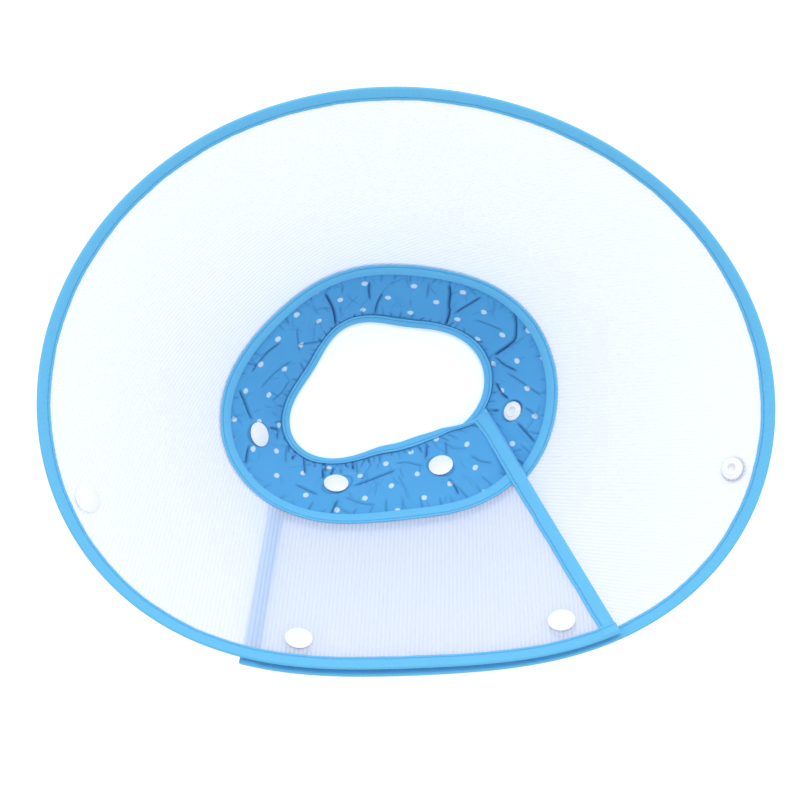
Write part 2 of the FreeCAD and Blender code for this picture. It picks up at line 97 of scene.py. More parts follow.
def bell(x, width):
    return np.exp(-(x / width) ** 2)


def length(vectors):
    return np.linalg.norm(vectors, axis=-1)


def running(points):
    """Distance travelled along a line of points."""
    return np.concatenate([[0.0], np.cumsum(length(np.diff(points, axis=0)))])


def waves(x, parts, seed):
    """Sum of uneven waves, each part a (wavelength, amplitude) pair."""
    rng = np.random.default_rng(seed)
    total = np.zeros_like(x)
    for wavelength, size in parts:
        total += size * np.sin(
            2 * math.pi * x / wavelength + rng.uniform(0, 6.28)
            + 0.7 * np.sin(x / wavelength * 0.37 * 6.28 + rng.uniform(0, 6.28)))
    return total


# ---------------------------------------------------------------- the cone surface
def radius(turn, parts):
    angle = np.radians(turn)
    total = parts[0]
    for k in range(1, len(parts) // 2 + 1):
        total = total + parts[2 * k - 1] * np.cos(k * angle) + parts[2 * k] * np.sin(k * angle)
    return total


def pad_radius(turn, level):
    neck = radius(turn, NECK)
    return neck + (radius(turn, SEAM) - neck) * level


def lift(turn):
    return smooth((turn - LIFT_START) / (LIFT_FULL - LIFT_START))


def lengths(turn):
    """Slope lengths of the pad and of the sheet."""
    rim, seam, neck = radius(turn, RIM), radius(turn, SEAM), radius(turn, NECK)
    return (np.hypot(seam - neck, Z_SEAM - Z_NECK) - LIFT * lift(turn),
            np.hypot(rim - seam, Z_RIM - Z_SEAM))


def surf(turn, level, off=0.0):
    """Points on the cone, in mm."""
    turn, level, off = np.broadcast_arrays(
        *(np.asarray(part, float) for part in (turn, level, off)))
    rim, seam, neck = radius(turn, RIM), radius(turn, SEAM), radius(turn, NECK)
    sheet_slope = np.arctan2(Z_RIM - Z_SEAM, rim - seam)
    pad_slope = np.arctan2(Z_SEAM - Z_NECK, seam - neck)
    seam_slope = 0.5 * (sheet_slope + pad_slope)
    lap = smooth((turn - LAP_START) / (LAP_FULL - LAP_START))
    lap_rim, lap_seam, lap_neck = -LAP_RIM * lap, -LAP_SEAM * lap, -LAP_NECK * lap
    lifted = lift(turn)
    upper = level >= 1.0
    slope_length = np.hypot(seam - neck, Z_SEAM - Z_NECK)
    level = np.where(upper, level, level + LIFT * lifted / slope_length * (1.0 - level))
    above = level - 1.0
    r = np.where(upper, seam + (rim - seam) * above, neck + (seam - neck) * level)
    z = np.where(upper, Z_SEAM + (Z_RIM - Z_SEAM) * above, Z_NECK + (Z_SEAM - Z_NECK) * level)
    slope = np.where(upper, seam_slope + (sheet_slope - seam_slope) * np.minimum(above, 1.0),
                     pad_slope + (seam_slope - pad_slope) * np.maximum(level, 0.0))
    shift = np.where(upper, lap_seam + (lap_rim - lap_seam) * above,
                     lap_neck + (lap_seam - lap_neck) * level)
    # a slide along the slope that keeps the lapped neck edge at its height
    slide = np.where(upper, 0.0,
                     shift * np.cos(slope) / np.sin(slope) * (1.0 - level) * (1.0 - lifted))
    r = r + (shift + off) * np.sin(slope) + slide * np.cos(slope)
    z = z - (shift + off) * np.cos(slope) + slide * np.sin(slope)
    angle = np.radians(turn)
    return np.stack([r * np.cos(angle), r * np.sin(angle), z], -1)


def level_at(base, distance, turn):
    """Level of a point distance mm up the slope from level base, which is 0, 1 or 2."""
    pad, sheet = lengths(turn)
    on_pad = (base == 0.0) | ((base == 1.0) & (distance < 0.0))
    return base + distance / np.where(on_pad, pad, sheet)


def normal(turn, level):
    round_it = surf(turn + 0.05, level) - surf(turn - 0.05, level)
    up_it = surf(turn, level + 0.002) - surf(turn, level - 0.002)
    across = np.cross(round_it, up_it)
    return across / np.linalg.norm(across, axis=-1, keepdims=True)


def end_table(ends):
    """Levels and turns of a straight cut end: a plane through the end line, square to the cone."""
    levels = np.arange(-0.12, 2.121, 0.005)
    turns = np.empty_like(levels)
    neck, seam, rim = ends
    corner = surf(seam, 1.0)
    for on_pad in (True, False):
        far = surf(neck, 0.0) if on_pad else surf(rim, 2.0)
        middle = 0.5 * (seam + (neck if on_pad else rim))
        across = np.cross(normal(middle, 0.5 if on_pad else 1.5), far - corner)
        across = across / np.linalg.norm(across)

        def beyond(turn, level):
            return ((surf(turn, level) - corner) * across).sum() > 0

        for i in np.nonzero((levels < 1.0) == on_pad)[0]:
            level = levels[i]
            if on_pad:
                guess = neck + (seam - neck) * max(level, 0.0)
            else:
                guess = seam + (rim - seam) * (level - 1.0)
            low, high = guess - 9.0, guess + 9.0
            side = beyond(high, level)
            for _ in range(30):
                middle = 0.5 * (low + high)
                if beyond(middle, level) == side:
                    high = middle
                else:
                    low = middle
            turns[i] = 0.5 * (low + high)
    return levels, turns


END_TABLES = {ends: end_table(ends) for ends in (END_OUTER, END_INNER)}


def end_turn(ends, level):
    return np.interp(level, *END_TABLES[ends])


def station(stop, level, extra=0.0):
    """Turn of a stop at a level: upright round the cone, leaning over towards the two cut ends.
    About extra mm are added past both ends."""
    stop, level = np.broadcast_arrays(np.asarray(stop, float), np.asarray(level, float))
    first, last = CUTS[0], CUTS[-1]
    rough_radius = np.interp(level, [0.0, 1.0, 2.0], [44.0, 74.0, 146.0])
    more = np.degrees(extra / rough_radius) * 1.15
    low = first + ((stop - first) / (END_OUTER[1] - first)
                   * (end_turn(END_OUTER, level) - more - first))
    high = last + ((stop - last) / (END_INNER[1] - last)
                   * (end_turn(END_INNER, level) + more - last))
    return np.where(stop < first, low, np.where(stop > last, high, stop))


def stations(step):
    """Stops about step degrees apart, and the indices of the ends and of the bends' limits."""
    edges = [END_OUTER[1]] + CUTS + [END_INNER[1]]
    stops, cuts = [], []
    for a, b in zip(edges, edges[1:]):
        count = max(2, int(round((b - a) / step)))
        cuts.append(len(stops))
        stops.extend(np.linspace(a, b, count + 1)[:-1])
    cuts.append(len(stops))
    stops.append(edges[-1])
    return np.array(stops), cuts


# ---------------------------------------------------------------- flat patterns
def trilaterate(p, q, from_p, from_q):
    """Point at the given distances from p and q, to the left of the line from p to q."""
    apart = length(q - p)
    x = (from_p * from_p - from_q * from_q + apart * apart) / (2 * apart)
    y = math.sqrt(max(from_p * from_p - x * x, 0.0))
    along = (q - p) / apart
    return p + along * x + np.array([-along[1], along[0]]) * y


def unroll(base):
    """Band from level base to base + 1 laid flat strip by strip: turns, lower and upper edge,
    base. The line at turn 0 lies along the pattern's x axis."""
    turns = np.arange(-175.0, 372.0, 0.5)
    a, b = surf(turns, base), surf(turns, base + 1.0)
    lower, upper = [np.array([0.0, 0.0])], [np.array([length(b[0] - a[0]), 0.0])]
    for i in range(1, len(turns)):
        p, q = lower[-1], upper[-1]
        low = trilaterate(p, q, length(a[i] - a[i - 1]), length(a[i] - b[i - 1]))
        high = trilaterate(low, q, length(b[i] - a[i]), length(b[i] - b[i - 1]))
        # the new upper point stays on the same side as the old one
        if np.dot(high - low, q - p) < 0:
            high = low - (high - low)
        lower.append(low)
        upper.append(high)
    lower, upper = np.array(lower), np.array(upper)
    zero = int(np.argmin(np.abs(turns)))
    along = upper[zero] - lower[zero]
    angle = -math.atan2(along[1], along[0])
    rotate = np.array([[math.cos(angle), -math.sin(angle)], [math.sin(angle), math.cos(angle)]])
    origin = lower[zero]
    return turns, (lower - origin) @ rotate.T, (upper - origin) @ rotate.T, base


SHEET_PATTERN = unroll(1.0)
PAD_PATTERN = unroll(0.0)


def flat(turn, level, pattern):
    turns, lower, upper, base = pattern
    low, high = (np.stack([np.interp(turn, turns, edge[:, 0]), np.interp(turn, turns, edge[:, 1])],
                          -1) for edge in (lower, upper))
    return low + (high - low) * (level - base)[..., None]


# ---------------------------------------------------------------- mesh building
MATERIALS = {}


def make_mesh(name, verts, faces, mat, uv, normals=None, painted_shade=None):
    mesh = bpy.data.meshes.new(name)
    mesh.from_pydata([tuple(p) for p in verts * MM], [], [tuple(int(i) for i in f) for f in faces])
    mesh.update()
    layer = mesh.uv_layers.new(name="flat")
    corners = np.empty(len(mesh.loops), np.int32)
    mesh.loops.foreach_get("vertex_index", corners)
    layer.data.foreach_set("uv", uv[corners].astype(np.float32).ravel())
    # the per-point painted shade, which the cloth materials read
    if painted_shade is not None:
        layer = mesh.attributes.new("painted_shade", "FLOAT", "POINT")
        layer.data.foreach_set("value", np.ascontiguousarray(painted_shade, np.float32).ravel())
    mesh.polygons.foreach_set("use_smooth", np.ones(len(mesh.polygons), bool))
    if normals is not None:
        mesh.normals_split_custom_set_from_vertices(normals)
    mesh.materials.append(MATERIALS[mat])
    made = bpy.data.objects.new(name, mesh)
    bpy.context.scene.collection.objects.link(made)
    return made


def vertex_normals(verts, quads):
    """Area weighted normals."""
    a, b, c, d = (verts[quads[:, k]] for k in range(4))
    across = np.cross(c - a, d - b)
    total = np.zeros_like(verts)
    for k in range(4):
        np.add.at(total, quads[:, k], across)
    return total / np.maximum(np.linalg.norm(total, axis=1, keepdims=True), 1e-12)


def clean(faces):
    """Faces as lists, without the corners that repeat."""
    kept = ([x for i, x in enumerate(face) if x != face[i - 1]] for face in faces.tolist())
    return [face for face in kept if len(face) > 2]


def attach(made, span, nodes=()):
    """Tie an object to its body, or bake its place into its mesh when it lies on a bend, and hide
    the frame's pieces it stands in for.
    """
    if span in BENDS:
        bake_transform(made)
    else:
        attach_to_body(made, span)
    have = [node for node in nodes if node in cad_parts]
    if have:
        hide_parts(*have)


def skin(pos, caps):
    """Quads and outward normals round closed loops pos (loops, corners, 3), with both end caps."""
    n, k = pos.shape[:2]
    i, j = np.meshgrid(np.arange(n - 1), np.arange(k), indexing="ij")
    j2 = (j + 1) % k
    body = np.stack([i * k + j, (i + 1) * k + j, (i + 1) * k + j2, i * k + j2], -1)
    first = np.array(caps)
    last = first[:, ::-1] + (n - 1) * k
    normals = vertex_normals(pos.reshape(-1, 3), body.reshape(-1, 4)).reshape(n, k, 3)
    if (normals * (pos - pos.mean(1, keepdims=True))).sum() < 0:
        return body[..., ::-1], first[:, ::-1], last[:, ::-1], -normals
    return body, first, last, normals


def sweep(name, cuts, pos, uv, mat, pieces, caps, painted_shade=None):
    """Closed loops along the stations, split where the bends begin and end."""
    k = pos.shape[1]
    body, first, last, normals = skin(pos, caps)
    for s, span in enumerate(SPANS):
        low, high = cuts[s], cuts[s + 1]
        faces = [body[low:high].reshape(-1, 4) - low * k]
        if s == 0:
            faces.append(first)
        if s == len(SPANS) - 1:
            faces.append(last - low * k)
        part = slice(low, high + 1)
        made = make_mesh(name + "_" + span, pos[part].reshape(-1, 3), clean(np.concatenate(faces)),
                         mat, uv[part].reshape(-1, 2), normals[part].reshape(-1, 3),
                         None if painted_shade is None else painted_shade[part])
        attach(made, span, [f"{span}_{piece}" for piece in pieces])


def two_faced(front, back):
    """Rows up the front face and down the back face, as one closed loop."""
    return np.concatenate([front, back[:, ::-1]], 1)


def layer_caps(rows):
    return [(j, j + 1, 2 * rows - 2 - j, 2 * rows - 1 - j) for j in range(rows - 1)]


# ---------------------------------------------------------------- shader helpers
class Shader:
    """A new material and the nodes that make it up."""

    def __init__(self, name):
        self.material = bpy.data.materials.new(name)
        self.material.use_nodes = True
        self.tree = self.material.node_tree
        self.tree.nodes.clear()
        self.output = self.tree.nodes.new("ShaderNodeOutputMaterial")
        MATERIALS[name] = self.material

    def add(self, kind, inputs, **settings):
        node = self.tree.nodes.new("ShaderNode" + kind)
        for key, value in settings.items():
            setattr(node, key, value)
        for key, value in inputs.items():
            if isinstance(value, bpy.types.NodeSocket):
                self.tree.links.new(value, node.inputs[key])
            else:
                node.inputs[key].default_value = value
        return node

    def math(self, operation, *values):
        return self.add("Math", dict(enumerate(values)), operation=operation).outputs[0]

    def rescale(self, value, times, plus):
        return self.math("MULTIPLY_ADD", value, times, plus)

    def ripple(self, value, pitch):
        """Sine wave between 0 and 1."""
        wave = self.math("SINE", self.math("MULTIPLY", value, 2 * math.pi / pitch))
        return self.rescale(wave, times=0.5, plus=0.5)

    def weave(self, x, y, pitch):
        """Height of a plain weave with threads pitch mm apart."""
        x, y = (self.math("MULTIPLY", value, math.pi / pitch) for value in (x, y))
        crossed = self.math("MULTIPLY", self.math("SINE", x), self.math("SINE", y))
        return self.rescale(crossed, times=0.5, plus=0.5)

    def mix(self, amount, a, b):
        return self.add("Mix", {0: amount, 6: a, 7: b}, data_type="RGBA").outputs[2]

    def mix_shader(self, amount, a, b):
        return self.add("MixShader", {0: amount, 1: a.outputs[0], 2: b.outputs[0]})

    def noise(self, vector, scale, detail):
        inputs = {"Scale": scale, "Detail": detail, "Vector": vector}
        return self.add("TexNoise", inputs).outputs["Fac"]

    def bump(self, height, strength, distance):
        inputs = {"Strength": strength, "Distance": distance, "Height": height}
        return self.add("Bump", inputs).outputs[0]

    def pattern(self):
        """The flat pattern in mm: as a vector, and its x and y."""
        uv = self.add("UVMap", {}, uv_map="flat").outputs[0]
        parts = self.add("SeparateXYZ", {0: uv}).outputs
        return uv, parts[0], parts[1]

    def finish(self, node):
        self.tree.links.new(node.outputs[0], self.output.inputs["Surface"])
        return self.material


def srgb(*levels):
    """Linear colour from 0 to 255 levels."""
    def linear(c):
        c /= 255.0
        return c / 12.92 if c <= 0.04045 else ((c + 0.055) / 1.055) ** 2.4
    return tuple(linear(c) for c in levels) + (1.0,)


def shade(colour, times):
    return tuple(c * times for c in colour[:3]) + (1.0,)


# ---------------------------------------------------------------- materials
# the dots' rows follow the weave at the back of the cone, and one dot sits at turn 78.3
ROW = np.diff(flat(np.array([88.0, 92.0]), np.array([0.5, 0.5]), PAD_PATTERN), axis=0)[0]
DOT_ANGLE = math.atan2(ROW[1], ROW[0])
DOT_COS, DOT_SIN = math.cos(DOT_ANGLE), math.sin(DOT_ANGLE)
DOT_X, DOT_Y = flat(np.array([78.3]), np.array([0.72]), PAD_PATTERN)[0]
DOT_SHIFT = (-(DOT_X * DOT_COS + DOT_Y * DOT_SIN), -(-DOT_X * DOT_SIN + DOT_Y * DOT_COS))


def dot_mask(shader, uv, x, y, spacing, radii):
    """1 inside oval dots set in staggered rows, spacing and radii in mm along and across them."""
    wobble = shader.rescale(shader.noise(uv, scale=0.35, detail=1.0), times=0.5, plus=-0.25)
    turned = [shader.math("ADD", shader.math("MULTIPLY", x, times_x),
                          shader.rescale(y, times=times_y, plus=shift))
              for times_x, times_y, shift in ((DOT_COS, DOT_SIN, DOT_SHIFT[0]),
                                              (-DOT_SIN, DOT_COS, DOT_SHIFT[1]))]
    placed = [shader.math("ADD", value, wobble) for value in turned]
    nearest = None
    for stagger in (0.0, 0.5):
        squares = []
        for value, pitch, size in zip(placed, spacing, radii):
            # 40 whole cells keep the cell number positive, the half centres the dot
            cells = shader.rescale(value, times=1.0 / pitch, plus=stagger + 40.5)
            centred = shader.math("SUBTRACT", shader.math("FRACT", cells), 0.5)
            radial = shader.math("MULTIPLY", centred, pitch / size)
            squares.append(shader.math("MULTIPLY", radial, radial))
        distance = shader.math("ADD", *squares)
        nearest = distance if nearest is None else shader.math("MINIMUM", nearest, distance)
    # soft edge: 0 well inside the oval, 1 outside
    edge = shader.math("MAXIMUM", shader.rescale(nearest, times=2.2, plus=-1.3), 0.0)
    rounding = 0.05
    return shader.math("SUBTRACT", 1.0, shader.math("SMOOTH_MIN", edge, 1.0, rounding))


def cloth_material(name, colour, pitch=None, ribs=None, sheen=0.35, dots=None, painted_shade_colour=None):
    """Woven cloth with threads pitch mm apart, or tape with ribs that many mm apart.
    The last argument is the colour of the painted shade, laid on through the per-point painted
    shade attribute in creases, stitched grooves, under the tapes and round the snap caps."""
    shader = Shader(name)
    uv, x, y = shader.pattern()
    if ribs:
        cross = shader.ripple(x, ribs)
        fuzz = shader.math("MULTIPLY", shader.noise(uv, scale=1.6, detail=2.0), 0.5)
        height = shader.rescale(cross, times=0.7, plus=fuzz)
        relief = dict(strength=0.6, distance=0.00016)
    else:
        height = shader.weave(x, y, pitch)
        relief = dict(strength=0.5, distance=0.00012)
    # painted shade in the weave's hollows and painted highlight on its crests (on tape, the ribs'):
    # the colour runs from a darker to a lighter copy of itself with the height
    light = tuple(min(1.0, c * 1.10 + 0.01) for c in colour[:3]) + (1.0,)
    cloth = shader.mix(height, shade(colour, times=0.80), light)
    patches = shader.math("MULTIPLY", shader.noise(uv, scale=0.09, detail=3.0), 0.22)
    cloth = shader.mix(patches, cloth, shade(colour, times=0.75))
    if dots:
        inside = dot_mask(shader, uv, x, y, dots["spacing"], dots["radii"])
        # the dots get the same painted shade and highlight from the weave's height
        dot = shader.mix(height, shade(dots["colour"], times=0.9), dots["colour"])
        cloth = shader.mix(inside, cloth, dot)
    # painted shade, mixed in up to 88 % from the per-point attribute
    if painted_shade_colour:
        painted_shade = shader.add("Attribute", {}, attribute_name="painted_shade").outputs["Fac"]
        deep = shader.math("MINIMUM", shader.math("MAXIMUM", painted_shade, 0.0), 1.0)
        cloth = shader.mix(shader.math("MULTIPLY", deep, 0.88), cloth, painted_shade_colour)
    shader.finish(shader.add("BsdfPrincipled", {
        "Base Color": cloth, "Roughness": 0.72, "Sheen Weight": sheen, "Sheen Roughness": 0.45,
        "Specular IOR Level": 0.25, "Normal": shader.bump(height, **relief)}))


def sheet_material():
    """Clear, slightly blue plastic with fine ribs that run up the cone's slope order of y."""
    shader = Shader("ribbed_sheet")
    uv, _, y = shader.pattern()
    rib = shader.ripple(y, pitch=1.9)
    cloud = shader.noise(uv, scale=0.02, detail=2.0)
    # painted shade in the rib hollows and painted highlight on the crests: the base colour follows
    # the ribs' height
    plastic = shader.add("BsdfPrincipled", {
        "Base Color": shader.mix(rib, (0.84, 0.87, 0.97, 1.0), (0.92, 0.94, 1.0, 1.0)),
        "Roughness": 0.38, "Specular IOR Level": 0.35,
        "Normal": shader.bump(rib, strength=0.30, distance=0.00016)})
    glow = shader.add("BsdfTranslucent", {"Color": (0.92, 0.95, 1.0, 1.0)})
    clear = shader.add("BsdfTransparent", {"Color": (0.945, 0.96, 1.0, 1.0)})
    milky = shader.mix_shader(0.45, plastic, glow)
    clearness = shader.rescale(rib, times=-0.10, plus=0.50)
    clearness = shader.rescale(cloud, times=0.08, plus=clearness)
    shader.finish(shader.mix_shader(clearness, milky, clear))


def snap_material():
    shader = Shader("snap_white")
    place = shader.add("TexCoord", {}).outputs["Object"]
    grain = shader.noise(place, scale=900.0, detail=3.0)
    patches = shader.noise(place, scale=120.0, detail=2.0)
    shader.finish(shader.add("BsdfPrincipled", {
        "Base Color": shader.mix(patches, (0.86, 0.89, 0.93, 1.0), (0.95, 0.96, 0.97, 1.0)),
        "Roughness": shader.rescale(grain, times=0.2, plus=0.22),
        "Normal": shader.bump(grain, strength=0.08, distance=0.0001),
        "Subsurface Weight": 0.15, "Subsurface Radius": (0.002, 0.002, 0.002)}))


# the last colour given to the tape and to the dotted cover is painted shade for stitched grooves,
# creases, tape edges and snap-cap rings
cloth_material("tape_cloth", srgb(102, 193, 241), ribs=0.55, sheen=0.2, painted_shade_colour=srgb(24, 112, 176))
cloth_material("dotted_cloth", srgb(82, 171, 230), pitch=0.36, sheen=0.2,
               dots=dict(colour=srgb(208, 231, 252), spacing=(25.0, 18.0), radii=(1.8, 1.5)),
               painted_shade_colour=srgb(22, 84, 140))
cloth_material("lining_cloth", srgb(96, 176, 236), pitch=0.36)
cloth_material("thread", srgb(70, 165, 232), pitch=0.25, sheen=0.5)
sheet_material()
snap_material()
for name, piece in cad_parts.items():
    if "snap" in name:
        piece.data.materials.clear()
        piece.data.materials.append(MATERIALS["snap_white"])

# ---------------------------------------------------------------- sheet
SHEET_HALF = 0.25        # half its thickness
SHEET_TUCK = 2.7         # how far it reaches below the seam


def build_sheet():
    stops, cuts = stations(0.7)
    rows = np.concatenate([[0.0], np.linspace(0.02, 0.98, 22), [1.0]])
    low = level_at(1.0, -SHEET_TUCK, stops)[:, None]
    level = low + (2.0 - low) * rows
    turn = station(stops[:, None], level)
    pos = two_faced(surf(turn, level, -SHEET_HALF), surf(turn, level, SHEET_HALF))
    pattern = flat(turn, level, SHEET_PATTERN)
    sweep("sheet", cuts, pos, two_faced(pattern, pattern), "ribbed_sheet",
          ["sheet"], layer_caps(len(rows)))


build_sheet()

# ---------------------------------------------------------------- folded tapes
TAPE = 0.5               # thickness
PUFF = 0.26              # swelling of the tape between fold and stitches
GROOVE = 1.35            # the stitched line lies this far from a tape's edge
STITCH = 3.3             # stitch spacing
THREAD = 2.5             # visible length of one stitch
RINGS, SIDES = 7, 6      # rings along one stitch and corners round it
BACK_EDGE = 37           # index of the outline's middle corner at the back's free edge


def swell(deep, width):
    """Rounded body between the fold and the stitched line, and a small lip beyond it."""
    line = width - GROOVE
    share = np.clip(deep / line, 0.0, 1.0)
    body = PUFF * np.clip(1.0 - (2.0 * share - 1.0) ** 2, 0.0, 1.0) ** 0.6
    return body * (deep < line) + 0.09 * bell(deep - width + 0.55, 0.38)


def folded(front, back, gap, reach):
    """Outline of a tape folded over an edge, as (deep, off) corners. deep is measured from the
    edge, negative past it; front and back are the widths, gap is the half gap inside the bend and
    reach is how far the bend stands off the edge."""
    def side(width):
        from_edge = np.array([0.3, 0.6, 0.9, 1.12, 1.35, 1.58, 1.85])
        return np.concatenate([width - from_edge, np.linspace(width - 2.3, 0.25, 5)])

    outer = gap + TAPE
    corners = [(front, -gap), (front + 0.22, -gap - TAPE * 0.5), (front, -outer)]
    corners += [(deep, -outer - float(swell(deep, front))) for deep in side(front)]
    corners += [(-reach * math.sin(q) - 0.05, -outer * math.cos(q))
                for q in np.linspace(0.0, math.pi, 9)]
    corners += [(deep, outer + float(swell(deep, back))) for deep in side(back)[::-1]]
    corners += [(back, outer), (back + 0.22, gap + TAPE * 0.5), (back, gap)]
    corners += [(back * 0.5, gap), (0.2, gap), (-0.03, gap * 0.7), (-0.03, -gap * 0.7),
                (0.2, -gap), (front * 0.5, -gap)]
    return np.array(corners)


def closing_quads(corners, steps=20):
    """Faces between the outside and the inside of a folded outline."""
    outside = list(range(2, BACK_EDGE))
    inside = [0] + list(range(corners - 1, BACK_EDGE, -1))
    quads = []
    for q in range(steps):
        (i0, i1), (j0, j1) = ([run[int(round(x / steps * (len(run) - 1)))] for x in (q, q + 1)]
                              for run in (outside, inside))
        if i0 != i1:
            quads.append((i0, i1, j1, j0))
    return quads


def stitch_rings(start):
    """Points of one stitch: distance along the tape, sideways and height offsets."""
    t = np.linspace(0.0, 1.0, RINGS)[:, None]
    angle = np.linspace(0.0, 2 * math.pi, SIDES, endpoint=False)
    size = np.clip(1.0 - (2 * t - 1) ** 6, 0.02, 1.0) ** 0.5
    x = start + (STITCH - THREAD) * 0.5 + t * THREAD
    dip = 0.16 * np.abs(2 * t - 1) ** 4
    return x + 0 * angle, 0.19 * size * np.cos(angle), 0.15 * size * np.sin(angle) - dip


def stitch_faces(count):
    one = []
    for i in range(RINGS - 1):
        for j in range(SIDES):
            j2 = (j + 1) % SIDES
            one.append((i * SIDES + j, i * SIDES + j2, (i + 1) * SIDES + j2, (i + 1) * SIDES + j))
    one.append(tuple(range(SIDES))[::-1])
    one.append(tuple((RINGS - 1) * SIDES + j for j in range(SIDES)))
    return [tuple(x + c * RINGS * SIDES for x in face) for c in range(count) for face in one]


def sew(name, span, place, xs, along, widths, gap, start, limit):
    """Stitches on both sides of a tape, between the distances start and limit. place turns tape
    coordinates into points, and along holds its first coordinate at the distances xs."""
    rows = []
    for side, width in zip((-1.0, 1.0), widths):
        top = gap + TAPE + float(swell(width - GROOVE, width)) - 0.02
        first = start
        while first + STITCH < limit:
            x, sideways, up = stitch_rings(first)
            rows.append(place(np.interp(x, xs, along), x, width - GROOVE + sideways,
                              side * (top + 0.10 + up)).reshape(-1, 3))
            first += STITCH
    if rows:
        verts = np.concatenate(rows)
        made = make_mesh(name, verts, stitch_faces(len(rows)), "thread",
                         verts[:, :2])
        attach(made, span)


def groove_depth(x, deep, width):
    """How far the stitches pull the tape in."""
    return bell(deep - (width - GROOVE), 0.27) * (0.17 + 0.08 * np.cos(2 * math.pi * x / STITCH))


def groove_shade(outline, width, gap, xs):
    """Painted shade along the stitched groove."""
    deep, off = outline.T
    line = 0.62 * bell(deep - (width - GROOVE), 0.20) * (np.abs(off) > gap + 0.2)
    return line * (0.85 + 0.15 * np.cos(2 * math.pi * xs / STITCH))[:, None]


def tape_uv(xs, outline):
    return np.stack(np.broadcast_arrays(xs[:, None], running(outline)), -1)


def tape(name, base, sign, start, widths, gap, reach, seed, step, over=0.0, past=0.9):
    """Tape folded over an edge start mm from level base; sign is +1 when the material lies above
    it. It runs past mm beyond both bound ends and rises by over mm where it covers their tapes."""
    stops, cuts = stations(step)
    outline = folded(*widths, gap, reach)
    xs = running(surf(station(stops, base), base))
    total = xs[-1]

    def place(stop, x, deep, off):
        edge = waves(x, [(31.0, 0.09), (13.0, 0.05), (5.5, 0.03), (1.9, 0.02)], seed + 1)
        puff = waves(x, [(23.0, 0.05), (9.0, 0.03), (3.4, 0.015)], seed)
        share = np.clip(deep / max(widths), 0.0, 1.0)
        to_end = np.minimum(x, total - x)
        outer = np.clip((np.abs(off) - gap) / TAPE, 0.0, 1.0)
        body = (deep > 0.1) * (puff * (1.0 - np.abs(2 * share - 0.9))
                               - groove_depth(x, deep, widths[0]))
        size = np.abs(off) + outer * body + over * smooth((8.6 - to_end) / 1.6) * (deep > -0.04)
        size = size * (1.0 - 0.45 * fade(to_end, -0.02, 0.8))
        moved = (deep + edge * np.clip(deep / widths[0], 0, 1)
                 + 0.35 * fade(to_end, 0.0, 0.9) * (deep < 0.0))
        level = level_at(base, sign * (moved + start), stop)
        points = surf(station(stop, level, past), level, np.sign(off) * size)
        points[..., 2] = np.maximum(points[..., 2], 0.0)
        return points

    sweep(name, cuts, place(stops[:, None], xs[:, None], outline[:, 0], outline[:, 1]),
          tape_uv(xs, outline), "tape_cloth", [name],
          closing_quads(len(outline)), groove_shade(outline, widths[0], gap, xs))
    for s, span in enumerate(SPANS):
        first, last = xs[cuts[s]], xs[cuts[s + 1]]
        sew(name + "_stitches_" + span, span, place, xs, stops, widths, gap,
            start=STITCH * math.ceil(max(first, 1.5) / STITCH),
            limit=min(last + 0.5 * STITCH, total - 1.0))


tape("rim_tape", base=2.0, sign=-1.0, start=0.0, widths=(6.0, 5.9), gap=0.30, reach=0.55,
     seed=11, step=0.26, over=0.42)
tape("seam_tape", base=1.0, sign=1.0, start=-2.9, widths=(6.0, 5.6), gap=0.30, reach=0.55,
     seed=23, step=0.42, past=-0.6)
tape("neck_tape", base=0.0, sign=1.0, start=0.0, widths=(4.8, 4.6), gap=0.85, reach=0.60,
     seed=37, step=0.62, over=0.12)

